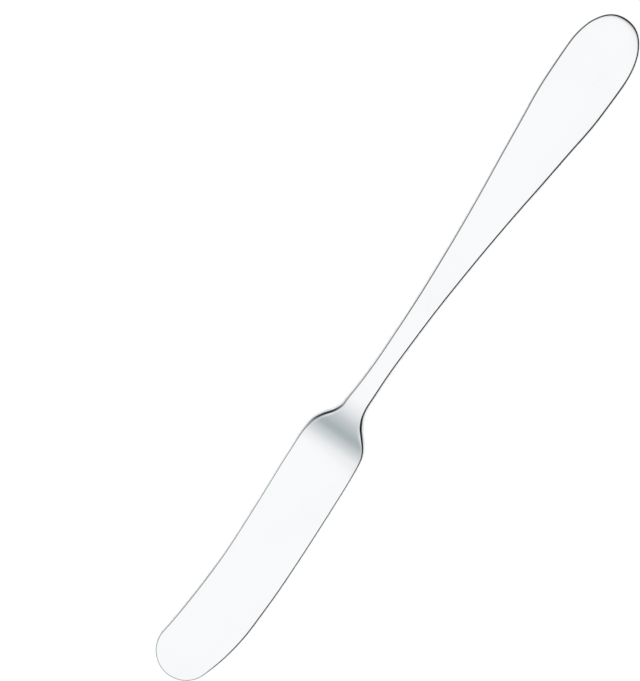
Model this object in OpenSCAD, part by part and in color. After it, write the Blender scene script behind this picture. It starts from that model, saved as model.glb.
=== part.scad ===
// Butter knife: one piece of polished stainless steel, forged and ground from a single blank.
// Lengths are in millimetres. +X points to the blade's tip, +Y to its spreading edge and +Z up.
// The origin is the middle of the handle's flat underside, which the knife lies on.

/* [Handle] */
// Length of the handle, from its round end to the shoulders of the blade
handle_l = 101.8; // [90:0.1:115]
// Width of the handle where it is widest
handle_w = 15.3; // [12:0.1:18]
// Length of the handle's round end
end_l = 12.5; // [9:0.1:15]
// Exponent of the superellipse that the round end follows, 2 for an ellipse
end_power = 2.2; // [2:0.05:2.6]
// Distance that the round end's middle is set off the handle's centre line, towards the spine
end_set = 0.15; // [0:0.05:0.3]
// Thickness of the handle at its round end
end_t = 2.5; // [2:0.1:3.2]
// Rise of the top face above its edges, where the handle is widest
crown_h = 0.2; // [0:0.05:0.4]
// Largest radius of the edges along the handle and neck
handle_edge_r = 0.32; // [0.16:0.02:0.6]
// Depth ground off the underside, which leaves the handle and neck lying on one flat face
ground_off = 0.05; // [0.02:0.01:0.1]

/* [Neck] */
// Width of the neck where it is narrowest
neck_w = 4.4; // [3.5:0.1:6]
// Thickness of the neck, the thickest place on the knife
neck_t = 3.9; // [3.2:0.1:4.6]

/* [Bolster] */
// Length of the two shoulders, over which the neck widens into the blade
shoulder_l = 10.7; // [8:0.1:14]
// Largest radius of the edges along the shoulders
shoulder_edge_r = 1.2; // [0.4:0.1:1.4]
// Length of the slope from the neck's thickness down to the blade's, on both faces
bolster_l = 22.6; // [16:0.1:28]
// Length of the part of that slope that lies on the neck, before the shoulders
bolster_lead = 6.2; // [3:0.1:9]

/* [Blade] */
// Length of the blade, from its root at the end of the shoulders to the tip
blade_l = 59.6; // [50:0.1:75]
// Width of the blade at its root
blade_w = 14.6; // [12:0.1:18]
// Distance that the root's middle is set off the handle's centre line, towards the spreading edge
blade_set = 0.8; // [0:0.1:1.5]
// Depth of the hollow along the spine
spine_hollow = 1.35; // [0:0.05:2]
// Depth of the bulge along the spreading edge
belly_depth = 2.3; // [1:0.1:3]
// Radius of the rounded tip
tip_r = 6.6; // [5.5:0.1:7.2]
// Distance that the tip's centre is set off the handle's centre line, towards the spreading edge
tip_set = 0.5; // [0:0.1:1]
// Thickness of the spine at the root
spine_t = 1.6; // [1.2:0.1:2.2]
// Thickness of the blade at the tip
tip_t = 0.9; // [0.7:0.1:1.2]
// Thickness of the spreading edge
edge_t = 0.8; // [0.5:0.05:1]
// Largest radius of the edges round the blade
blade_edge_r = 0.36; // [0.1:0.02:0.5]

/* [Hidden] */

// Places along the knife, counted from the handle's round end
root_x = handle_l + shoulder_l;
tip_x = root_x + blade_l;
// Centre of the rounded tip, and the turn of its arc that meets the spine and the spreading edge
tip_centre = [tip_x - tip_r, tip_set];
spine_turn = 94;
belly_turn = 73;

// Handle's outline: share of the way from the round end to the shoulders, and the width's share
// of the way from the neck's width to the handle's
handle_width_shares = [
    [0, 1], [0.06, 0.99], [0.12, 0.95], [0.2, 0.81], [0.3, 0.64], [0.4, 0.46],
    [0.5, 0.305], [0.6, 0.18], [0.7, 0.08], [0.8, 0.025], [0.89, 0], [0.95, 0.03]
];
// Share of the same kind that the neck has where it meets the shoulders
neck_end_share = 0.1;
// Handle's thickness: share of its length, and share of the way from the end's to the neck's
handle_thickness_shares = [[0, 0], [0.3, 0.06], [0.6, 0.36], [0.82, 0.88], [0.93, 1], [1, 1]];
// Slope of the bolster: share of its length, and share of the way from the neck's faces to the blade's
bolster_fall_shares = [
    [0, 0], [0.05, 0.005], [0.1, 0.025], [0.2, 0.09], [0.3, 0.195], [0.4, 0.33], [0.5, 0.5],
    [0.6, 0.69], [0.7, 0.84], [0.8, 0.94], [0.9, 0.99], [1, 1]
];

// Edge radii: share of the handle's, the shoulders' or the blade's length, and share of the
// largest radius there. On the shoulders it is the share of the way to it from the radii beside.
handle_round_shares = [
    [0, 0.62], [0.07, 0.66], [0.14, 0.94], [0.22, 1], [0.45, 0.9], [0.6, 0.88], [0.8, 0.95], [1, 0.95]
];
spine_round_shares = [
    [0, 0], [0.1, 0.25], [0.2, 0.62], [0.3, 0.83], [0.5, 0.83], [0.65, 0.72], [0.8, 0.4], [0.92, 0.12], [1, 0]
];
belly_round_shares = [
    [0, 0], [0.1, 0.2], [0.2, 0.6], [0.31, 1], [0.42, 0.8], [0.52, 0.4], [0.62, 0.1], [0.72, 0], [1, 0]
];
blade_round_shares = [
    [0, 0.42], [0.12, 0.45], [0.25, 0.54], [0.5, 0.7], [0.65, 0.92], [0.72, 1], [0.8, 1],
    [0.87, 0.7], [0.93, 0.4], [1, 0.2]
];

// Shoulders: share of their length, and share of the way from the neck's edge to the root's
spine_shoulder_shares = [
    [0, 0], [0.1, 0.025], [0.2, 0.14], [0.3, 0.31], [0.4, 0.54], [0.5, 0.725], [0.6, 0.865],
    [0.7, 0.95], [0.8, 0.985], [0.9, 1]
];
belly_shoulder_shares = [
    [0, 0], [0.1, 0.065], [0.2, 0.175], [0.3, 0.31], [0.4, 0.48], [0.5, 0.64], [0.6, 0.78],
    [0.7, 0.88], [0.8, 0.945], [0.9, 0.98]
];

// Blade's edges: share of the way from the root to the tip's arc, and share of the full depth
// of the spine's hollow or of the spreading edge's bulge
spine_hollow_shares = [
    [0, 0], [0.08, 0.17], [0.15, 0.28], [0.22, 0.43], [0.3, 0.6], [0.45, 0.86], [0.58, 1],
    [0.7, 0.9], [0.8, 0.7], [0.9, 0.42], [0.96, 0.2], [1, 0]
];
belly_bulge_shares = [
    [0, 0], [0.06, 0.155], [0.15, 0.335], [0.3, 0.6], [0.45, 0.825], [0.6, 0.98], [0.7, 1],
    [0.78, 0.98], [0.85, 0.82], [0.92, 0.53], [0.97, 0.22], [1, 0]
];
// Share of the blade's width, from the spine, where the faces start to fall to the spreading edge
grind_start_share = 0.25;
// Share of the blade's length over which that fall grows to its full depth
grind_fade_share = 0.3;
// Largest edge radius, as a share of the thickness that it rounds
round_limit_share = 0.48;

// Steps along the round end, the handle, the neck's share of the bolster's slope, the shoulders,
// the blade and the rounded tip
end_steps = 12;
handle_steps = 30;
lead_steps = 8;
shoulder_steps = 24;
blade_steps = 30;
tip_steps = 14;
// Steps round one edge, and across the top or bottom face
round_steps = 4;
face_steps = 5;
// Room round the knife on every side of the space above the table but the lowest
overrun = 2;

function mix(a, b, share) = a + (b - a) * share;
function clamp(share) = min(max(share, 0), 1);
function ease(share) = let (s = clamp(share)) s * s * (3 - 2 * s);

// A smooth curve through [place, value] points. Its slope at a point is that of the parabola
// through the point and its neighbours, and at the first and last point that of the nearest chord.
function chord(points, i) = (points[i + 1][1] - points[i][1]) / (points[i + 1][0] - points[i][0]);
function slope(points, i) =
    i == 0 ? chord(points, 0) :
    i == len(points) - 1 ? chord(points, i - 1) :
    let (before = points[i][0] - points[i - 1][0], after = points[i + 1][0] - points[i][0])
    (chord(points, i - 1) * after + chord(points, i) * before) / (before + after);
function stretch(points, place, i = 0) =
    i >= len(points) - 2 || place < points[i + 1][0] ? i : stretch(points, place, i + 1);
function curve(points, place) =
    let (
        i = stretch(points, place),
        a = points[i],
        b = points[i + 1],
        run = b[0] - a[0],
        s = clamp((place - a[0]) / run)
    )
    mix(a[1], b[1], s * s * (3 - 2 * s))
    + run * s * (1 - s) * (slope(points, i) * (1 - s) - slope(points, i + 1) * s);

// Points that one side of the outline runs through, as [place, distance from the centre line].
// side is -1 along the spine and 1 along the spreading edge.
function end_point(side, turn) =
    let (back = pow(cos(turn), 2 / end_power), out = pow(sin(turn), 2 / end_power))
    [end_l * (1 - back), handle_w / 2 * out - side * end_set * back];
function root_y(side) = blade_w / 2 + side * blade_set;
function arc_point(side, turn) =
    [tip_centre.x + tip_r * cos(turn), side * tip_centre.y + tip_r * sin(turn)];
function handle_points() =
    [for (s = handle_width_shares) [mix(end_l, handle_l, s[0]), mix(neck_w, handle_w, s[1]) / 2]];
function shoulder_points(side, shares) =
    let (neck_y = mix(neck_w, handle_w, neck_end_share) / 2)
    [for (s = shares) [handle_l + shoulder_l * s[0], mix(neck_y, root_y(side), s[1])]];
function blade_points(side, shares, depth, meet) =
    [for (s = shares) [mix(root_x, meet.x, s[0]), mix(root_y(side), meet.y, s[0]) + depth * s[1]]];

spine_points = concat(
    handle_points(),
    shoulder_points(-1, spine_shoulder_shares),
    blade_points(-1, spine_hollow_shares, -spine_hollow, arc_point(-1, spine_turn))
);
belly_points = concat(
    handle_points(),
    shoulder_points(1, belly_shoulder_shares),
    blade_points(1, belly_bulge_shares, belly_depth, arc_point(1, belly_turn))
);

// One side of the outline at every station, from the handle's round end to the tip
function side_line(side, points, turn) =
    let (meet = arc_point(side, turn))
    concat(
        [for (i = [0 : end_steps - 1]) end_point(side, 90 * i / end_steps)],
        [for (i = [0 : handle_steps - 1])
            let (x = mix(end_l, handle_l - bolster_lead, i / handle_steps))
            [x, curve(points, x)]],
        [for (i = [0 : lead_steps - 1])
            let (x = handle_l - bolster_lead * (1 - i / lead_steps))
            [x, curve(points, x)]],
        [for (i = [0 : shoulder_steps - 1])
            let (x = mix(handle_l, root_x, i / shoulder_steps))
            [x, curve(points, x)]],
        [for (i = [0 : blade_steps - 1])
            let (x = mix(root_x, meet.x, i / blade_steps))
            [x, curve(points, x)]],
        [for (i = [0 : tip_steps]) arc_point(side, turn * (1 - i / tip_steps))]
    );
spine_line = side_line(-1, spine_points, spine_turn);
belly_line = side_line(1, belly_points, belly_turn);
last = len(spine_line) - 1;

// Unit vector square to the outline, pointing into the steel
function inward(line, i) =
    i == 0 ? [1, 0] :
    i == last ? [-1, 0] :
    let (along = line[i + 1] - line[i - 1])
    [along.y, -along.x] / norm(along);

// Faces of the knife at a place x, an across share from 0 at the spine to 1 at the spreading
// edge, and the outline's width there. The blade lies in the middle of the neck's thickness, and
// the underside of the handle and neck starts below the table, to which it is ground flat.
function bolster_share(x) = curve(bolster_fall_shares, (x - handle_l + bolster_lead) / bolster_l);
function thickness_rise(x) = curve(handle_thickness_shares, x / handle_l);
function crown(x, across, width) =
    crown_h * (1 - thickness_rise(x)) * width / handle_w * 4 * across * (1 - across);
function blade_thickness(x, across) =
    let (
        along = clamp((x - root_x) / blade_l),
        body = mix(spine_t, tip_t, along),
        grind = ease((across - grind_start_share) / (1 - grind_start_share)) * ease(along / grind_fade_share)
    )
    mix(body, edge_t, grind);
function top_z(x, across, width) = mix(
    mix(end_t, neck_t, thickness_rise(x)) + crown(x, across, width),
    (neck_t + blade_thickness(x, across)) / 2,
    bolster_share(x)
);
function bottom_z(x, across) =
    mix(-ground_off, (neck_t - blade_thickness(x, across)) / 2, bolster_share(x));

// Radius that rounds the outline's edges at a place x
function edge_radius(x, across, width) =
    let (
        handle_r = handle_edge_r * curve(handle_round_shares, x / handle_l),
        blade_r = blade_edge_r * curve(blade_round_shares, (x - root_x) / blade_l),
        shares = across < 0.5 ? spine_round_shares : belly_round_shares,
        shoulder = curve(shares, (x - handle_l) / shoulder_l),
        r = mix(mix(handle_r, blade_r, bolster_share(x)), shoulder_edge_r, shoulder),
        t = top_z(x, across, width) - bottom_z(x, across)
    )
    min(r, round_limit_share * t);

// Points up one side of the knife at a station: round the lower edge, then round the upper one.
// side is -1 for the spine and 1 for the spreading edge.
function side_wall(side, line, i, width) =
    let (
        rim = (1 + side) / 2,
        r = edge_radius(line[i].x, rim, width),
        n = inward(line, i),
        seat = line[i] + r * n,
        across = width > 2 * r ? rim - side * r / width : 1 / 2,
        high = top_z(seat.x, across, width),
        low = bottom_z(seat.x, across),
        lower = [for (k = [0 : round_steps]) [90 * (1 - k / round_steps), -1]],
        upper = [for (k = [0 : round_steps]) [90 * k / round_steps, 1]]
    )
    [for (step = concat(lower, upper))
        let (p = seat - r * cos(step[0]) * n)
        [p.x, side * p.y, step[1] > 0 ? high - r * (1 - sin(step[0])) : low + r * (1 - sin(step[0]))]];

// Points of a face between the tops or the bottoms of the two side walls, from the spine across
function face_row(a, b, width, high) =
    [for (k = [1 : face_steps - 1])
        let (p = mix(a, b, k / face_steps), across = k / face_steps)
        [p.x, p.y, high ? top_z(p.x, across, width) : bottom_z(p.x, across)]];

// Ring of points round the knife at a station: up the spine, across the top, down the spreading
// edge and back across the bottom. At both ends of the knife the ring closes to one side wall.
wall = 2 * round_steps + 2;
ring = 2 * wall + 2 * (face_steps - 1);
function reversed(list) = [for (i = [len(list) - 1 : -1 : 0]) list[i]];
function station_ring(i) =
    let (
        width = spine_line[i].y + belly_line[i].y,
        spine = side_wall(-1, spine_line, i, width),
        belly = side_wall(1, belly_line, i, width)
    )
    concat(
        spine,
        face_row(spine[wall - 1], belly[wall - 1], width, true),
        reversed(belly),
        reversed(face_row(spine[0], belly[0], width, false))
    );
knife_points = concat(
    side_wall(1, belly_line, 0, 0),
    [for (i = [1 : last - 1]) each station_ring(i)],
    side_wall(1, belly_line, last, 0)
);

// Number of a ring's point: an end wall's point stands for all of the ring's points at its height
function wall_step(k) =
    k < wall ? k :
    k < wall + face_steps - 1 ? wall - 1 :
    k < 2 * wall + face_steps - 1 ? 2 * wall + face_steps - 2 - k :
    0;
function point_number(i, k) =
    i == 0 ? wall_step(k) :
    i == last ? wall + (last - 1) * ring + wall_step(k) :
    wall + (i - 1) * ring + k;
function corners(a, b, c) = a == b || b == c || a == c ? [] : [[a, b, c]];
knife_faces = [
    for (i = [0 : last - 1], k = [0 : ring - 1])
        let (
            m = (k + 1) % ring,
            a = point_number(i, k),
            b = point_number(i, m),
            c = point_number(i + 1, m),
            d = point_number(i + 1, k)
        )
        each concat(corners(a, b, c), corners(a, c, d))
];

// Space above the table. The knife is ground to it, so its underside is one flat face.
module above_table() {
    half_w = handle_w + blade_w;
    translate([-overrun, -half_w, 0]) cube([tip_x + 2 * overrun, 2 * half_w, neck_t + crown_h + overrun]);
}

// The whole knife: handle, neck, bolster and blade are one piece of steel, with no joint between
module butter_knife() {
    color("gainsboro")
        translate([-handle_l / 2, 0, 0])
            intersection() {
                polyhedron(knife_points, knife_faces, convexity = 4);
                above_table();
            }
}

butter_knife();
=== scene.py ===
# Butter knife: the looks of one piece of mirror-polished stainless steel, on a pale studio floor.
# Lengths are in millimetres unless a name says otherwise, and turned to metres as they are used.
import math

import bmesh
import bpy
from bpy.props import FloatProperty, PointerProperty, StringProperty
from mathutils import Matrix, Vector


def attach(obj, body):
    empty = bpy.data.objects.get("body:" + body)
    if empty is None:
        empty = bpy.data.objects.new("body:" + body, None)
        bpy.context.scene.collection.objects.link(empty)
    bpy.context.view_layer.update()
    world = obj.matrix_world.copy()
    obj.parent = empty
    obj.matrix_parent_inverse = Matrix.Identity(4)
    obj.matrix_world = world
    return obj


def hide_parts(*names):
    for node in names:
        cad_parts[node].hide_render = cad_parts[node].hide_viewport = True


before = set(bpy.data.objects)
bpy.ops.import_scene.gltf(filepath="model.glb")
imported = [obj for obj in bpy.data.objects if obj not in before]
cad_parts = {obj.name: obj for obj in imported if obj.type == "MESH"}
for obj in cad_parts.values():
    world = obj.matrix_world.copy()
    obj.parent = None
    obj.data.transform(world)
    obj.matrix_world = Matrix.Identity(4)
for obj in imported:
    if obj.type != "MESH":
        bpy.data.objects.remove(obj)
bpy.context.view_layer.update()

bl_info = {
    "name": "Butter knife",
    "version": (1, 0, 0),
    "blender": (4, 5, 0),
    "location": "View3D > Sidebar > Butter knife",
    "description": "Models a one-piece butter knife, polishes it and lights it",
    "category": "Add Mesh",
}

NODE = "butter_knife"
KNIFE = "polished_knife"
MM = 0.001

# The tables of shares are those of the solid model.
# Handle's width: share of the way from the end to the shoulders, and share of the way from the
# neck's width to the handle's
HANDLE_WIDTH_SHARES = [
    (0, 1), (0.06, 0.99), (0.12, 0.95), (0.2, 0.81), (0.3, 0.64), (0.4, 0.46),
    (0.5, 0.305), (0.6, 0.18), (0.7, 0.08), (0.8, 0.025), (0.89, 0), (0.95, 0.03),
]
# Share of the same kind that the neck has where it meets the shoulders
NECK_END_SHARE = 0.1
# Handle's thickness: share of its length, and share of the way from the end's to the neck's
HANDLE_THICKNESS_SHARES = [(0, 0), (0.3, 0.06), (0.6, 0.36), (0.82, 0.88), (0.93, 1), (1, 1)]
# Slope of the bolster: share of its length, and share of the way from the neck's faces to the blade's
BOLSTER_FALL_SHARES = [
    (0, 0), (0.05, 0.005), (0.1, 0.025), (0.2, 0.09), (0.3, 0.195), (0.4, 0.33), (0.5, 0.5),
    (0.6, 0.69), (0.7, 0.84), (0.8, 0.94), (0.9, 0.99), (1, 1),
]

# Edge radii: share of the handle's, the shoulders' or the blade's length, and share of the
# largest radius there. On the shoulders it is the share of the way to it from the radii beside.
HANDLE_ROUND_SHARES = [
    (0, 0.62), (0.07, 0.66), (0.14, 0.94), (0.22, 1), (0.45, 0.9), (0.6, 0.88), (0.8, 0.95), (1, 0.95),
]
SPINE_ROUND_SHARES = [
    (0, 0), (0.1, 0.25), (0.2, 0.62), (0.3, 0.83), (0.5, 0.83), (0.65, 0.72), (0.8, 0.4),
    (0.92, 0.12), (1, 0),
]
BELLY_ROUND_SHARES = [
    (0, 0), (0.1, 0.2), (0.2, 0.6), (0.31, 1), (0.42, 0.8), (0.52, 0.4), (0.62, 0.1),
    (0.72, 0), (1, 0),
]
BLADE_ROUND_SHARES = [
    (0, 0.42), (0.12, 0.45), (0.25, 0.54), (0.5, 0.7), (0.65, 0.92), (0.72, 1), (0.8, 1),
    (0.87, 0.7), (0.93, 0.4), (1, 0.2),
]

# Shoulders: share of their length, and share of the way from the neck's edge to the root's
SPINE_SHOULDER_SHARES = [
    (0, 0), (0.1, 0.025), (0.2, 0.14), (0.3, 0.31), (0.4, 0.54), (0.5, 0.725), (0.6, 0.865),
    (0.7, 0.95), (0.8, 0.985), (0.9, 1),
]
BELLY_SHOULDER_SHARES = [
    (0, 0), (0.1, 0.065), (0.2, 0.175), (0.3, 0.31), (0.4, 0.48), (0.5, 0.64), (0.6, 0.78),
    (0.7, 0.88), (0.8, 0.945), (0.9, 0.98),
]

# Blade's edges: share of the way from the root to the tip's arc, and share of the full depth
# of the spine's hollow or of the spreading edge's bulge
SPINE_HOLLOW_SHARES = [
    (0, 0), (0.08, 0.17), (0.15, 0.28), (0.22, 0.43), (0.3, 0.6), (0.45, 0.86), (0.58, 1),
    (0.7, 0.9), (0.8, 0.7), (0.9, 0.42), (0.96, 0.2), (1, 0),
]
BELLY_BULGE_SHARES = [
    (0, 0), (0.06, 0.155), (0.15, 0.335), (0.3, 0.6), (0.45, 0.825), (0.6, 0.98), (0.7, 1),
    (0.78, 0.98), (0.85, 0.82), (0.92, 0.53), (0.97, 0.22), (1, 0),
]
# Turns of the tip's arc, from the centre line, at which it meets the spine and the spreading edge
SPINE_TURN = 94
BELLY_TURN = 73
# Share of the blade's width, from the spine, where the faces start to fall to the spreading edge
GRIND_START_SHARE = 0.25
# Share of the blade's length over which that fall grows to its full depth
GRIND_FADE_SHARE = 0.3
# Largest edge radius, as a share of the thickness that it rounds
ROUND_LIMIT_SHARE = 0.47

# The two long sides of the knife: the spine lies at -Y and the belly, or spreading edge, at +Y
SPINE = -1
BELLY = 1
MIDDLE = 0.5
# A width that counts as none, at the very end and tip
LEAST_WIDTH = 0.01

# Turns round the handle's end and round the tip at which the rows inside the rim meet it, and then
# those of the rim's points between the first row's ends and between the last row's
END_TURNS = (50, 58, 66, 74, 82)
END_ROW_TURNS = (33.5, 16.7, 0, -16.7, -33.5)
TIP_TURNS = (90, 80, 70, 60, 50)
TIP_ROW_TURNS = (-33.5, -16.7, 0, 16.7, 33.5)
# How far the middle of the second to the fifth row lies from the end, and from the tip
END_DEPTHS = (2.5, 4.5, 6.7, 9.1)
TIP_DEPTHS = (1.8, 3.1, 4.5, 6.0)
# Width of the ring of faces inside the rim's rounding
RING = 0.4
# How far in from the rim a row may start, as a share of the knife's width there
ROW_START_LIMIT_SHARE = 0.36
HANDLE_ROWS = 23
SHOULDER_ROWS = 14
BLADE_ROWS = 16
# The rows draw closer before the shoulders and part again after them, at these distances from them
BEFORE_SHOULDERS = (12.6, 9.4, 6.8, 4.7, 3.0, 1.65, 0.78)
AFTER_SHOULDERS = (0.0, 0.82, 1.8, 3.0, 4.5, 6.5)
COLUMNS = 7
# Rounds in which the rim is set against what subdivision makes of it
RIM_ROUNDS = 4
# The bevel along the rims, and the levels of subdivision over it
BEVEL_STEPS = 3
BEVEL_PROFILE = 0.42
SMOOTH_LEVELS = 2


def length(label, description, default):
    """The property of a size in millimetres."""
    told = description + ", in millimetres"
    return FloatProperty(name=label, description=told, default=default, min=0.0, precision=2)


class ButterKnifeSizes(bpy.types.PropertyGroup):
    """Sizes of the knife, in millimetres"""

    handle_length: length("Handle length", "From the round end to the shoulders", 101.8)
    handle_width: length("Handle width", "Where the handle is widest", 15.3)
    end_length: length("Round end", "Length of the handle's round end", 12.5)
    end_power: FloatProperty(
        name="End fullness",
        description="Exponent of the superellipse round the end; 2 is an ellipse",
        default=2.2,
        min=1.5,
        max=4.0,
    )
    end_set: length("End set", "Distance that the round end is set towards the spine", 0.15)
    end_thickness: length("End thickness", "Thickness of the handle at its round end", 2.5)
    crown: length("Crown", "Rise of the top face above its edges", 0.2)
    handle_edge: length("Handle edge radius", "Largest radius of the edges along the handle", 0.32)
    neck_width: length("Neck width", "Where the neck is narrowest", 4.4)
    neck_thickness: length("Neck thickness", "The thickest place on the knife", 3.9)
    shoulder_length: length("Shoulders", "Length over which the neck widens into the blade", 10.7)
    shoulder_edge: length("Shoulder edge radius", "Largest radius of the edges along the shoulders", 1.2)
    bolster_length: length("Bolster slope", "Length of the slope from neck to blade", 22.6)
    bolster_lead: length("Bolster lead", "Length of the slope that lies on the neck", 6.2)
    blade_length: length("Blade length", "From the root to the tip", 59.6)
    blade_width: length("Blade width", "Width of the blade at its root", 14.6)
    blade_set: length("Blade set", "Distance that the root is set towards the spreading edge", 0.8)
    spine_hollow: length("Spine hollow", "Depth of the hollow along the spine", 1.35)
    belly_depth: length("Belly", "Depth of the bulge along the spreading edge", 2.3)
    tip_radius: length("Tip radius", "Radius of the rounded tip", 6.6)
    tip_set: length("Tip set", "Distance that the tip is set towards the spreading edge", 0.5)
    spine_thickness: length("Spine thickness", "Thickness of the spine at the root", 1.6)
    tip_thickness: length("Tip thickness", "Thickness of the blade at the tip", 0.9)
    edge_thickness: length("Edge thickness", "Thickness of the spreading edge", 0.8)
    blade_edge: length("Blade edge radius", "Largest radius of the edges round the blade", 0.36)
    ground_off: length("Ground off", "Depth ground off the underside", 0.05)


class ButterKnifeFinish(bpy.types.PropertyGroup):
    """Colour and polish of the steel"""

    steel: StringProperty(
        name="Steel",
        description="Colour of the polished steel, as sRGB hex",
        default="#E5E6E7",
    )
    roughness: FloatProperty(
        name="Roughness",
        description="Roughness of the polish",
        default=0.07,
        min=0.0,
        max=1.0,
    )
    wear: FloatProperty(
        name="Wear",
        description="Strength of the hairlines left by use",
        default=0.35,
        min=0.0,
        max=1.0,
        subtype="FACTOR",
    )


class ButterKnifeStudio(bpy.types.PropertyGroup):
    """Colours and brightness of the studio"""

    floor: StringProperty(
        name="Floor",
        description="Colour of the floor, as sRGB hex",
        default="#F4F4F4",
    )
    overhead: FloatProperty(
        name="Overhead",
        description="Brightness of the softbox overhead, the wall and the boards",
        default=1.215,
        min=0.0,
    )
    fill: FloatProperty(
        name="Fill",
        description="Strength of the lamp that lights the floor from straight above",
        default=2.9,
        min=0.0,
    )


def linear(hex_colour):
    """An sRGB hex colour as linear RGBA."""
    parts = [int(hex_colour[k : k + 2], 16) / 255 for k in (1, 3, 5)]
    return [p / 12.92 if p <= 0.04045 else ((p + 0.055) / 1.055) ** 2.4 for p in parts] + [1.0]


def grey(level):
    """A grey light of a linear level, as RGBA."""
    return (level, level, level, 1.0)


def mix(a, b, share):
    return a + (b - a) * share


def clamp(share):
    return min(max(share, 0.0), 1.0)


def ease(share):
    s = clamp(share)
    return s * s * (3 - 2 * s)


def curve(points, place):
    """A smooth curve through (place, value) points, with the slopes of the parabolas through them."""
    last = len(points) - 1
    i = 0
    while i < last - 1 and place >= points[i + 1][0]:
        i += 1

    def chord(k):
        return (points[k + 1][1] - points[k][1]) / (points[k + 1][0] - points[k][0])

    def slope(k):
        if k == 0:
            return chord(0)
        if k == last:
            return chord(last - 1)
        before, after = points[k][0] - points[k - 1][0], points[k + 1][0] - points[k][0]
        return (chord(k - 1) * after + chord(k) * before) / (before + after)

    run = points[i + 1][0] - points[i][0]
    s = clamp((place - points[i][0]) / run)
    bend = run * s * (1 - s) * (slope(i) * (1 - s) - slope(i + 1) * s)
    return mix(points[i][1], points[i + 1][1], ease(s)) + bend


class KnifeForm:
    """Where the knife's outline and faces lie, counted in millimetres from the handle's round end."""

    def __init__(self, sizes):
        self.sizes = sizes
        self.root_x = sizes.handle_length + sizes.shoulder_length
        self.tip_x = self.root_x + sizes.blade_length
        self.arc_x = self.tip_x - sizes.tip_radius
        self.turns = {SPINE: SPINE_TURN, BELLY: BELLY_TURN}
        self.lines = {
            SPINE: self.line(SPINE, SPINE_SHOULDER_SHARES, SPINE_HOLLOW_SHARES, -sizes.spine_hollow),
            BELLY: self.line(BELLY, BELLY_SHOULDER_SHARES, BELLY_BULGE_SHARES, sizes.belly_depth),
        }

    def line(self, side, shoulder, edge, depth):
        """The points that one side runs through from the round end to the tip's arc."""
        s = self.sizes
        neck_y = mix(s.neck_width, s.handle_width, NECK_END_SHARE) / 2
        root_y = s.blade_width / 2 + side * s.blade_set
        meet_x, meet_y = self.arc(side, self.turns[side])
        points = [
            (mix(s.end_length, s.handle_length, p), mix(s.neck_width, s.handle_width, v) / 2)
            for p, v in HANDLE_WIDTH_SHARES
        ]
        points += [(s.handle_length + s.shoulder_length * p, mix(neck_y, root_y, v)) for p, v in shoulder]
        points += [(mix(self.root_x, meet_x, p), mix(root_y, meet_y, p) + depth * v) for p, v in edge]
        return points

    def arc(self, side, turn):
        """A point of the rounded tip, at a turn from the centre line to one side."""
        s = self.sizes
        a = math.radians(turn)
        return self.arc_x + s.tip_radius * math.cos(a), side * s.tip_set + s.tip_radius * math.sin(a)

    def end_point(self, turn):
        """A point of the handle's round end, at a turn from its middle towards the spreading edge."""
        s = self.sizes
        a = math.radians(turn)
        back = math.cos(a) ** (2 / s.end_power)
        out = math.copysign(abs(math.sin(a)) ** (2 / s.end_power), turn)
        return s.end_length * (1 - back), s.handle_width / 2 * out - s.end_set * back

    def half(self, side, x):
        """Distance of one side's outline from the centre line."""
        s = self.sizes
        if x < s.end_length:
            back = 1 - x / s.end_length
            out = (1 - back**s.end_power) ** (1 / s.end_power)
            return s.handle_width / 2 * out - side * s.end_set * back
        if x > self.arc(side, self.turns[side])[0]:
            return side * s.tip_set + math.sqrt(max(0.0, s.tip_radius**2 - (x - self.arc_x) ** 2))
        return curve(self.lines[side], x)

    def bolster(self, x):
        """How far the faces have gone from the neck's to the blade's."""
        s = self.sizes
        return curve(BOLSTER_FALL_SHARES, (x - s.handle_length + s.bolster_lead) / s.bolster_length)

    def blade_thickness(self, x, across):
        s = self.sizes
        along = clamp((x - self.root_x) / s.blade_length)
        body = mix(s.spine_thickness, s.tip_thickness, along)
        fall = ease((across - GRIND_START_SHARE) / (1 - GRIND_START_SHARE))
        return mix(body, s.edge_thickness, fall * ease(along / GRIND_FADE_SHARE))

    def top(self, x, across, width):
        s = self.sizes
        rise = curve(HANDLE_THICKNESS_SHARES, x / s.handle_length)
        handle = mix(s.end_thickness, s.neck_thickness, rise)
        crown = s.crown * (1 - rise) * width / s.handle_width * 4 * across * (1 - across)
        blade = (s.neck_thickness + self.blade_thickness(x, across)) / 2
        return mix(handle + crown, blade, self.bolster(x))

    def bottom(self, x, across):
        s = self.sizes
        blade = (s.neck_thickness - self.blade_thickness(x, across)) / 2
        return max(0.0, mix(-s.ground_off, blade, self.bolster(x)))

    def edge_radius(self, x, across, width):
        s = self.sizes
        handle = s.handle_edge * curve(HANDLE_ROUND_SHARES, x / s.handle_length)
        shares = SPINE_ROUND_SHARES if across < MIDDLE else BELLY_ROUND_SHARES
        shoulder = curve(shares, (x - s.handle_length) / s.shoulder_length)
        blade = s.blade_edge * curve(BLADE_ROUND_SHARES, (x - self.root_x) / s.blade_length)
        radius = mix(mix(handle, blade, self.bolster(x)), s.shoulder_edge, shoulder)
        return min(radius, ROUND_LIMIT_SHARE * (self.top(x, across, width) - self.bottom(x, across)))

    def across(self, p):
        """Share of the knife's width at a place, from the spine, and the width there."""
        spine = self.half(SPINE, p.x)
        width = spine + self.half(BELLY, p.x)
        if width > LEAST_WIDTH:
            return clamp((p.y + spine) / width), width
        return MIDDLE, width


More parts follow.
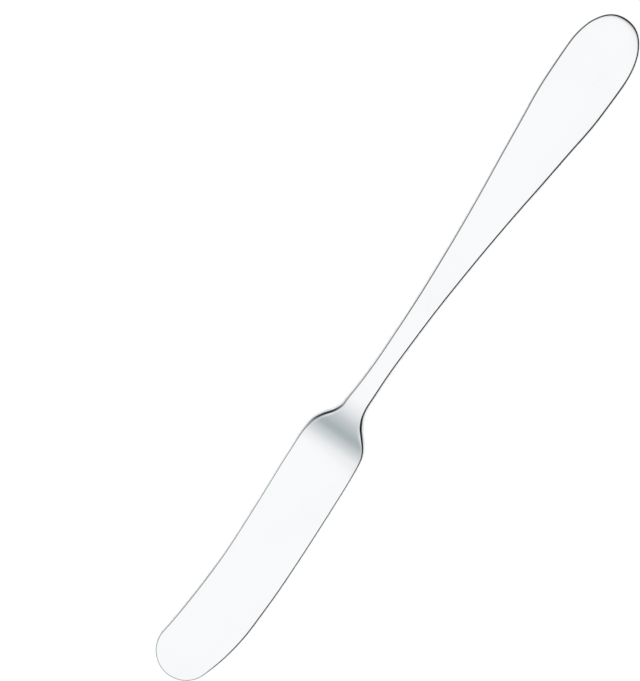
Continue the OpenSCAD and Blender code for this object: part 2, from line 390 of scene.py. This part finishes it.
def blank_plan(form):
    """The blank in plan: which row and column each of the rim's points stands beside, the rim, and
    the rows inside it, from the handle's end to the tip."""
    s = form.sizes
    xs = [form.end_point(turn)[0] for turn in END_TURNS]
    close = s.handle_length - BEFORE_SHOULDERS[0]
    xs += [mix(s.end_length, close, k / HANDLE_ROWS) for k in range(HANDLE_ROWS)]
    xs += [s.handle_length - d for d in BEFORE_SHOULDERS]
    xs += [mix(s.handle_length, form.root_x, k / SHOULDER_ROWS) for k in range(SHOULDER_ROWS)]
    xs += [form.root_x + d for d in AFTER_SHOULDERS]
    xs += [mix(xs[-1], form.arc_x, (k + 1) / BLADE_ROWS) for k in range(BLADE_ROWS - 1)]
    xs += [form.arc_x + s.tip_radius * math.cos(math.radians(turn)) for turn in TIP_TURNS]
    last = len(xs) - 1

    # the rim goes down the spine's side, round the tip, back along the spreading edge and round the end
    spots = [(i, 0) for i in range(last + 1)]
    spots += [(last, j) for j in range(1, COLUMNS - 1)]
    spots += [(i, COLUMNS - 1) for i in range(last, -1, -1)]
    spots += [(0, j) for j in range(COLUMNS - 2, 0, -1)]
    rim = [Vector((x, -form.half(SPINE, x))) for x in xs]
    rim += [Vector(form.arc(BELLY, turn)) for turn in TIP_ROW_TURNS]
    rim += [Vector((x, form.half(BELLY, x))) for x in reversed(xs)]
    rim += [Vector(form.end_point(turn)) for turn in END_ROW_TURNS]

    rows = [[None] * COLUMNS for _ in xs]
    for k, (i, j) in enumerate(spots):
        along = (rim[(k + 1) % len(rim)] - rim[k - 1]).normalized()
        across, width = form.across(rim[k])
        hold = form.edge_radius(rim[k].x, across, width) + RING
        if 0 < i < last:
            hold = min(hold, ROW_START_LIMIT_SHARE * width)
        rows[i][j] = rim[k] + hold * Vector((-along.y, along.x))
    for i in range(1, last):
        near, far = rows[i][0], rows[i][-1]
        bow = 0.0
        if i <= len(END_DEPTHS):
            bow = END_DEPTHS[i - 1] - (near.x + far.x) / 2
        if last - i <= len(TIP_DEPTHS):
            bow = form.tip_x - TIP_DEPTHS[last - i - 1] - (near.x + far.x) / 2
        for j in range(1, COLUMNS - 1):
            share = j / (COLUMNS - 1)
            rows[i][j] = near.lerp(far, share) + Vector((bow * (1 - (2 * share - 1) ** 2), 0))
    return spots, rim, rows


def stand_proud(rim):
    """Moves the rim's points out by what subdivision will round off, so that it lands on the outline.
    Subdivision draws a point to four sixths of itself and a sixth of each neighbour."""
    n = len(rim)
    along = [(rim[(k + 1) % n] - rim[k - 1]).normalized() for k in range(n)]
    held = [p.copy() for p in rim]
    for _ in range(RIM_ROUNDS):
        reached = [(held[k - 1] + 4 * held[k] + held[(k + 1) % n]) / 6 for k in range(n)]
        short = [w - r for w, r in zip(rim, reached)]
        held = [p + d - a * d.dot(a) for p, d, a in zip(held, short, along)]
    return held


def pick(mesh, indices):
    """Selects the given points of the mesh in edit mode, and nothing else."""
    shape = bmesh.from_edit_mesh(mesh)
    shape.verts.ensure_lookup_table()
    chosen = set(indices)
    for v in shape.verts:
        v.select = v.index in chosen
    shape.select_flush_mode()
    bmesh.update_edit_mesh(mesh, loop_triangles=False, destructive=False)


def move(mesh, indices, by):
    pick(mesh, indices)
    bpy.ops.transform.translate(value=by, orient_type="GLOBAL")


class KNIFE_OT_forge(bpy.types.Operator):
    """Models the knife: a flat blank drawn to the outline, thickened, tapered and rounded"""

    bl_idname = "butter_knife.forge"
    bl_label = "Forge the knife"
    bl_options = {"REGISTER", "UNDO"}

    def execute(self, context):
        sizes = context.scene.butter_knife_sizes
        form = KnifeForm(sizes)
        spots, rim, rows = blank_plan(form)

        bpy.ops.object.select_all(action="DESELECT")
        bpy.ops.mesh.primitive_grid_add(x_subdivisions=COLUMNS - 1, y_subdivisions=len(rows) - 1, size=1.0)
        knife = context.object
        knife.name = knife.data.name = KNIFE
        mesh = knife.data
        places = [v.co.copy() for v in mesh.vertices]
        order = sorted(range(len(places)), key=lambda v: (round(places[v].y, 5), places[v].x))
        grid = [order[i * COLUMNS : (i + 1) * COLUMNS] for i in range(len(rows))]
        plan = {v: p for indices, row in zip(grid, rows) for v, p in zip(indices, row)}

        bpy.ops.object.mode_set(mode="EDIT")
        bpy.ops.mesh.select_mode(type="VERT")
        self.put(mesh, plan, sizes)
        border = [grid[i][j] for i, j in spots]
        edge = self.draw_rim(mesh, border, dict(zip(border, stand_proud(rim))), sizes)
        plan.update(zip(edge, rim))
        above = self.thicken(mesh, plan, sizes)
        self.set_heights(mesh, plan, above, form)
        self.weigh_rims(mesh, (edge, [above[v] for v in edge]), rim, form)
        bpy.ops.mesh.select_all(action="SELECT")
        bpy.ops.mesh.normals_make_consistent(inside=False)
        bpy.ops.object.mode_set(mode="OBJECT")

        self.round_edges(knife, sizes)
        bpy.ops.object.shade_smooth()
        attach(knife, "root")
        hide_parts(NODE)
        return {"FINISHED"}

    def put(self, mesh, plan, sizes):
        """Moves points of the flat blank, one by one, to their places in plan."""
        shape = bmesh.from_edit_mesh(mesh)
        shape.verts.ensure_lookup_table()
        starts = {v: shape.verts[v].co.copy() for v in plan}
        for v, a in starts.items():
            p = plan[v]
            move(mesh, [v], ((p.x - sizes.handle_length / 2) * MM - a.x, p.y * MM - a.y, -a.z))

    def raised(self, mesh, indices, height):
        """The points above the height that stand over the given ones."""
        shape = bmesh.from_edit_mesh(mesh)
        shape.verts.ensure_lookup_table()
        place = {(round(v.co.x, 6), round(v.co.y, 6)): v.index for v in shape.verts if v.co.z > height}
        return [place[(round(shape.verts[v].co.x, 6), round(shape.verts[v].co.y, 6))] for v in indices]

    def draw_rim(self, mesh, border, held, sizes):
        """Draws a ring of faces out of the blank's border, as far as the knife's rim."""
        pick(mesh, border)
        bpy.ops.mesh.extrude_edges_move(TRANSFORM_OT_translate={"value": (0, 0, MM)})
        edge = self.raised(mesh, border, MM / 2)
        self.put(mesh, {e: held[v] for e, v in zip(edge, border)}, sizes)
        return edge

    def thicken(self, mesh, plan, sizes):
        """Makes the sheet as thick as the neck, and returns the upper point over each lower one."""
        thickness = sizes.neck_thickness * MM
        bpy.ops.mesh.select_all(action="SELECT")
        bpy.ops.mesh.extrude_region_move(TRANSFORM_OT_translate={"value": (0, 0, thickness)})
        return dict(zip(plan, self.raised(mesh, plan, thickness / 2)))

    def set_heights(self, mesh, plan, above, form):
        """Raises or lowers the points of the top and the underside to the knife's own thickness."""
        levels = {}
        for v, p in plan.items():
            across, width = form.across(p)
            up = round(form.top(p.x, across, width) - form.sizes.neck_thickness, 4)
            levels.setdefault(up, []).append(above[v])
            levels.setdefault(round(form.bottom(p.x, across), 4), []).append(v)
        for rise, indices in levels.items():
            if rise:
                move(mesh, indices, (0, 0, rise * MM))

    def weigh_rims(self, mesh, rims, plan, form):
        """Marks the two rims with the share of the bevel's width that each place has."""
        shares = []
        for p in plan:
            across, width = form.across(p)
            shares.append(form.edge_radius(p.x, across, width) / form.sizes.shoulder_edge)
        shape = bmesh.from_edit_mesh(mesh)
        shape.verts.ensure_lookup_table()
        layers = shape.edges.layers.float
        weights = layers.get("bevel_weight_edge") or layers.new("bevel_weight_edge")
        for rim in rims:
            for k in range(len(rim)):
                edge = shape.edges.get((shape.verts[rim[k - 1]], shape.verts[rim[k]]))
                edge[weights] = (shares[k - 1] + shares[k]) / 2
        bmesh.update_edit_mesh(mesh)

    def round_edges(self, knife, sizes):
        """Rounds the rims and smooths the whole knife, and applies both."""
        bevel = knife.modifiers.new("rounded rims", "BEVEL")
        bevel.limit_method = "WEIGHT"
        bevel.width = sizes.shoulder_edge * MM
        bevel.segments = BEVEL_STEPS
        bevel.profile = BEVEL_PROFILE
        bevel.use_clamp_overlap = False
        smooth = knife.modifiers.new("smooth", "SUBSURF")
        smooth.levels = SMOOTH_LEVELS
        smooth.render_levels = SMOOTH_LEVELS
        for modifier in (bevel, smooth):
            bpy.ops.object.modifier_apply(modifier=modifier.name)


def add_node(tree, kind, settings=None, **links):
    """Adds a node with its settings. A link's value is an output socket or a plain value. Its name is
    the input's, with _ for each space, or _ and the input's number."""
    node = tree.nodes.new(kind)
    for key, value in (settings or {}).items():
        setattr(node, key, value)
    for key, value in links.items():
        spot = int(key[1:]) if key[0] == "_" else key.replace("_", " ")
        if isinstance(value, bpy.types.NodeSocket):
            tree.links.new(value, node.inputs[spot])
        else:
            node.inputs[spot].default_value = value
    return node


def set_ramp(node, stops, blend="LINEAR"):
    """Gives a colour ramp its (place, colour) stops."""
    ramp = node.color_ramp
    ramp.interpolation = blend
    while len(ramp.elements) > 1:
        ramp.elements.remove(ramp.elements[-1])
    ramp.elements[0].position, ramp.elements[0].color = stops[0]
    for place, colour in stops[1:]:
        ramp.elements.new(place).color = colour


# Patterns on the steel, by the number of their cells in a metre. The buffing lines are 0.3 mm apart,
# where real ones are finer than 0.05 mm and wouldn't show.
BUFFING_SCALE = 3300.0
# A buffing line is 50 times longer than it is wide
BUFFING_STRETCH = (0.02, 1.0, 1.0)
BUFFING_HEIGHT = 0.02
BUFFING_STRENGTH = 0.04
# The polish and the tone vary over 15 mm or so, as a hand on the wheel leaves them
CLOUD_SCALE = 70.0
CLOUD_RANGE = (0.35, 0.65)
# Shares of the roughness in the best and the least polished places
POLISH_SHARES = (0.8, 1.25)
# Share of the steel's colour that its darkest places have
TONE_SHARE = 0.985
# Hairlines lie in two directions, and are the highest spots of a stretched pattern: cells of 0.4 mm
# give lines about 0.1 mm wide and up to 20 mm long
HAIRLINE_SCALE = 2400.0
HAIRLINE_STRETCH = (0.03, 1.0, 0.2)
HAIRLINE_RANGE = (0.72, 0.78)
# Turn of each direction, in radians, and the shift in metres that gives it lines of its own
HAIRLINE_SETS = ((0.35, 0.0), (-0.55, 7.0))
# Roughness that a hairline adds, and its depth as a share of the buffing lines' height, at full wear
HAIRLINE_ROUGHNESS = 0.12
HAIRLINE_DEPTH = 0.6


def mirror_polished_stainless(finish):
    """18/10 stainless steel, buffed to a mirror along its length: a clean, almost colourless mirror,
    with buffing lines that only show where the light turns, and a few hairlines from use."""
    material = bpy.data.materials.new("mirror_polished_stainless")
    material.use_nodes = True
    tree = material.node_tree
    tree.nodes.clear()
    place = add_node(tree, "ShaderNodeTexCoord").outputs["Object"]

    lines_at = add_node(tree, "ShaderNodeMapping", Vector=place, Scale=BUFFING_STRETCH).outputs[0]
    lines = add_node(
        tree, "ShaderNodeTexNoise", Vector=lines_at, Scale=BUFFING_SCALE, Detail=3.0, Roughness=0.6
    )
    cloud = add_node(tree, "ShaderNodeTexNoise", Vector=place, Scale=CLOUD_SCALE, Detail=2.0, Roughness=0.5)
    polish = add_node(
        tree,
        "ShaderNodeMapRange",
        Value=cloud.outputs["Fac"],
        From_Min=CLOUD_RANGE[0],
        From_Max=CLOUD_RANGE[1],
        To_Min=finish.roughness * POLISH_SHARES[0],
        To_Max=finish.roughness * POLISH_SHARES[1],
    )

    marks = []
    for turn, shift in HAIRLINE_SETS:
        turned = add_node(
            tree, "ShaderNodeMapping", Vector=place, Rotation=(0, 0, turn), Location=(shift, shift, 0)
        ).outputs[0]
        drawn = add_node(tree, "ShaderNodeMapping", Vector=turned, Scale=HAIRLINE_STRETCH).outputs[0]
        streak = add_node(
            tree, "ShaderNodeTexNoise", Vector=drawn, Scale=HAIRLINE_SCALE, Detail=1.0, Roughness=0.4
        )
        mark = add_node(
            tree,
            "ShaderNodeMapRange",
            Value=streak.outputs["Fac"],
            From_Min=HAIRLINE_RANGE[0],
            From_Max=HAIRLINE_RANGE[1],
            To_Min=0.0,
            To_Max=1.0,
        )
        marks.append(mark.outputs[0])
    hairlines = add_node(
        tree, "ShaderNodeMath", {"operation": "MAXIMUM"}, _0=marks[0], _1=marks[1]
    ).outputs[0]
    worn = add_node(
        tree,
        "ShaderNodeMath",
        {"operation": "MULTIPLY_ADD"},
        _0=hairlines,
        _1=HAIRLINE_ROUGHNESS * finish.wear,
        _2=polish.outputs[0],
    ).outputs[0]
    depth = add_node(
        tree,
        "ShaderNodeMath",
        {"operation": "MULTIPLY_ADD"},
        _0=hairlines,
        _1=-HAIRLINE_DEPTH * finish.wear,
        _2=lines.outputs["Fac"],
    ).outputs[0]
    relief = add_node(
        tree, "ShaderNodeBump", Strength=BUFFING_STRENGTH, Distance=BUFFING_HEIGHT * MM, Height=depth
    )

    steel = linear(finish.steel)
    dim = [c * TONE_SHARE for c in steel[:3]] + [1.0]
    tone = add_node(tree, "ShaderNodeMix", {"data_type": "RGBA"}, _0=cloud.outputs["Fac"], _6=steel, _7=dim)
    shader = add_node(
        tree,
        "ShaderNodeBsdfPrincipled",
        Base_Color=tone.outputs[2],
        Metallic=1.0,
        Roughness=worn,
        Normal=relief.outputs[0],
    )
    add_node(tree, "ShaderNodeOutputMaterial", Surface=shader.outputs[0])
    return material


class KNIFE_OT_polish(bpy.types.Operator):
    """Gives the knife its mirror-polished stainless steel"""

    bl_idname = "butter_knife.polish"
    bl_label = "Polish the knife"
    bl_options = {"REGISTER", "UNDO"}

    def execute(self, context):
        knife = bpy.data.objects[KNIFE]
        knife.data.materials.clear()
        knife.data.materials.append(mirror_polished_stainless(context.scene.butter_knife_finish))
        return {"FINISHED"}


# The paper's tooth: its cells in a metre, 1 mm each, and its depth
TOOTH_SCALE = 1000.0
TOOTH_HEIGHT = 0.05
TOOTH_STRENGTH = 0.05
PAPER_ROUGHNESS = 0.9


def matt_paper(colour):
    """A sheet of matt white background paper, with a faint tooth of 1 mm."""
    material = bpy.data.materials.new("matt_white_paper")
    material.use_nodes = True
    tree = material.node_tree
    tree.nodes.clear()
    place = add_node(tree, "ShaderNodeTexCoord").outputs["Object"]
    tooth = add_node(tree, "ShaderNodeTexNoise", Vector=place, Scale=TOOTH_SCALE, Detail=2.0).outputs["Fac"]
    relief = add_node(
        tree, "ShaderNodeBump", Strength=TOOTH_STRENGTH, Distance=TOOTH_HEIGHT * MM, Height=tooth
    )
    shader = add_node(
        tree,
        "ShaderNodeBsdfPrincipled",
        Base_Color=linear(colour),
        Roughness=PAPER_ROUGHNESS,
        Normal=relief.outputs[0],
    )
    add_node(tree, "ShaderNodeOutputMaterial", Surface=shader.outputs[0])
    return material


# Directions are unit vectors. The softbox overhead hangs a little towards the handle's end, and dims
# between these leans from its middle, each the sine of an angle.
SOFTBOX_SET = (0.03, 0, 0)
SOFTBOX_STOPS = [(0.12, grey(1)), (0.265, grey(0))]
# The boards round about are black beyond the spreading edge and the handle's end, and a cool grey
# beyond the spine and the tip. The grey side's vector is half a unit long, so that its dot product with
# a level direction, and a half, goes from 0, straight away from it, to 1. The stops go by that.
GREY_SIDE = (0.485, -0.121, 0)
BOARD_STOPS = [
    (0.0, grey(0)),
    (0.35, grey(0)),
    (0.5, grey(0.03)),
    (0.57, grey(0.12)),
    (0.61, grey(0.3)),
    (0.8, (0.34, 0.38, 0.395, 1.0)),
    (0.95, (0.355, 0.405, 0.425, 1.0)),
]
# A pale wall shows in a band over the boards, 7 to 34 degrees up, so that the steel isn't black from
# the side. The stops go by the sine of the height.
WALL_COLOUR = grey(0.85)
WALL_STOPS = [(0.12, grey(0)), (0.3, grey(0.34)), (0.42, grey(0.28)), (0.56, grey(0))]
# Times a direction, this keeps its level share and drops its height
LEVEL = (1, 1, 0)


def light_round_about(scene, overhead):
    """Light from all round: a wide softbox overhead, dim at its edges, a pale wall lower down, and
    boards at the foot of it, dark on one side."""
    world = bpy.data.worlds.new("studio")
    scene.world = world
    world.use_nodes = True
    tree = world.node_tree
    tree.nodes.clear()
    way = add_node(tree, "ShaderNodeTexCoord").outputs["Generated"]
    # how far a direction leans from the middle of the softbox
    flat = add_node(
        tree, "ShaderNodeVectorMath", {"operation": "MULTIPLY_ADD"}, _0=way, _1=LEVEL, _2=SOFTBOX_SET
    )
    lean = add_node(tree, "ShaderNodeVectorMath", {"operation": "LENGTH"}, _0=flat.outputs[0])
    softbox = add_node(tree, "ShaderNodeValToRGB", Fac=lean.outputs["Value"])
    set_ramp(softbox, SOFTBOX_STOPS, "EASE")
    # how far it is turned to the grey side
    level = add_node(tree, "ShaderNodeVectorMath", {"operation": "MULTIPLY"}, _0=way, _1=LEVEL)
    towards = add_node(tree, "ShaderNodeVectorMath", {"operation": "NORMALIZE"}, _0=level.outputs[0])
    turn = add_node(
        tree, "ShaderNodeVectorMath", {"operation": "DOT_PRODUCT"}, _0=towards.outputs[0], _1=GREY_SIDE
    )
    round_about = add_node(tree, "ShaderNodeMath", {"operation": "ADD"}, _0=turn.outputs["Value"], _1=0.5)
    boards = add_node(tree, "ShaderNodeValToRGB", Fac=round_about.outputs[0])
    set_ramp(boards, BOARD_STOPS)
    height = add_node(tree, "ShaderNodeSeparateXYZ", Vector=way).outputs["Z"]
    wall = add_node(tree, "ShaderNodeValToRGB", Fac=height)
    set_ramp(wall, WALL_STOPS)
    low = add_node(
        tree,
        "ShaderNodeMix",
        {"data_type": "RGBA"},
        _0=wall.outputs[0],
        _6=boards.outputs[0],
        _7=WALL_COLOUR,
    )
    both = add_node(
        tree,
        "ShaderNodeMix",
        {"data_type": "RGBA"},
        _0=softbox.outputs[0],
        _6=low.outputs[2],
        _7=grey(1),
    )
    lit = add_node(tree, "ShaderNodeBackground", Color=both.outputs[2], Strength=overhead)
    # what the camera sees past the floor is the same pale paper
    paper = add_node(tree, "ShaderNodeBackground", Color=grey(1), Strength=1.0)
    seen = add_node(tree, "ShaderNodeLightPath").outputs["Is Camera Ray"]
    chosen = add_node(tree, "ShaderNodeMixShader", _0=seen, _1=lit.outputs[0], _2=paper.outputs[0])
    add_node(tree, "ShaderNodeOutputWorld", Surface=chosen.outputs[0])


FLOOR_SIZE_M = 12.0
LAMP_HEIGHT_M = 1.4
# How wide the lamp looks from the floor
LAMP_DEGREES = 12


class KNIFE_OT_studio(bpy.types.Operator):
    """Lays the paper floor and sets up the lights"""

    bl_idname = "butter_knife.studio"
    bl_label = "Set up the studio"
    bl_options = {"REGISTER", "UNDO"}

    def execute(self, context):
        scene = context.scene
        studio = scene.butter_knife_studio
        bpy.ops.object.select_all(action="DESELECT")
        bpy.ops.mesh.primitive_plane_add(size=FLOOR_SIZE_M)
        floor = context.object
        floor.name = floor.data.name = "studio_floor"
        floor.data.materials.append(matt_paper(studio.floor))

        bpy.ops.object.light_add(type="SUN", location=(0, 0, LAMP_HEIGHT_M))
        lamp = context.object
        lamp.name = "floor_light"
        lamp.data.energy = studio.fill
        lamp.data.angle = math.radians(LAMP_DEGREES)
        # it lights the paper only: the steel mirrors the softbox, the wall and the boards
        lamp.visible_glossy = False
        lamp.visible_camera = False
        light_round_about(scene, studio.overhead)
        scene.view_settings.view_transform = "Standard"
        return {"FINISHED"}


# The camera looks straight down from 1.2 m, through a long lens, as the photograph does
CAMERA_PLACE = (43.59, -14.35, 1221.7)
CAMERA_TURN_DEGREES = 125.162
LENS = 300
NEAREST_SEEN_M = 0.01


class KNIFE_OT_camera(bpy.types.Operator):
    """Sets the camera straight above the knife, turned so that the tip points down to the left"""

    bl_idname = "butter_knife.camera"
    bl_label = "Place the camera"
    bl_options = {"REGISTER", "UNDO"}

    def execute(self, context):
        place = [c * MM for c in CAMERA_PLACE]
        bpy.ops.object.camera_add(location=place, rotation=(0, 0, math.radians(CAMERA_TURN_DEGREES)))
        camera = context.object
        camera.data.lens = LENS
        camera.data.clip_start = NEAREST_SEEN_M
        context.scene.camera = camera
        return {"FINISHED"}


class KNIFE_PT_sidebar(bpy.types.Panel):
    """Lists the steps and the sizes of the butter knife"""

    bl_label = "Butter knife"
    bl_idname = "KNIFE_PT_sidebar"
    bl_space_type = "VIEW_3D"
    bl_region_type = "UI"
    bl_category = "Butter knife"

    def draw(self, context):
        for step in STEPS:
            self.layout.operator(step.bl_idname)
        for name, group in GROUPS.items():
            box = self.layout.box()
            for key in group.__annotations__:
                box.prop(getattr(context.scene, name), key)


GROUPS = {
    "butter_knife_sizes": ButterKnifeSizes,
    "butter_knife_finish": ButterKnifeFinish,
    "butter_knife_studio": ButterKnifeStudio,
}
STEPS = (KNIFE_OT_forge, KNIFE_OT_polish, KNIFE_OT_studio, KNIFE_OT_camera)
CLASSES = (*GROUPS.values(), *STEPS, KNIFE_PT_sidebar)


def register():
    for cls in CLASSES:
        bpy.utils.register_class(cls)
    for name, group in GROUPS.items():
        setattr(bpy.types.Scene, name, PointerProperty(type=group))


def unregister():
    for name in GROUPS:
        delattr(bpy.types.Scene, name)
    for cls in reversed(CLASSES):
        bpy.utils.unregister_class(cls)


def main():
    register()
    bpy.ops.butter_knife.forge()
    bpy.ops.butter_knife.polish()
    bpy.ops.butter_knife.studio()
    bpy.ops.butter_knife.camera()


if __name__ == "__main__":
    main()
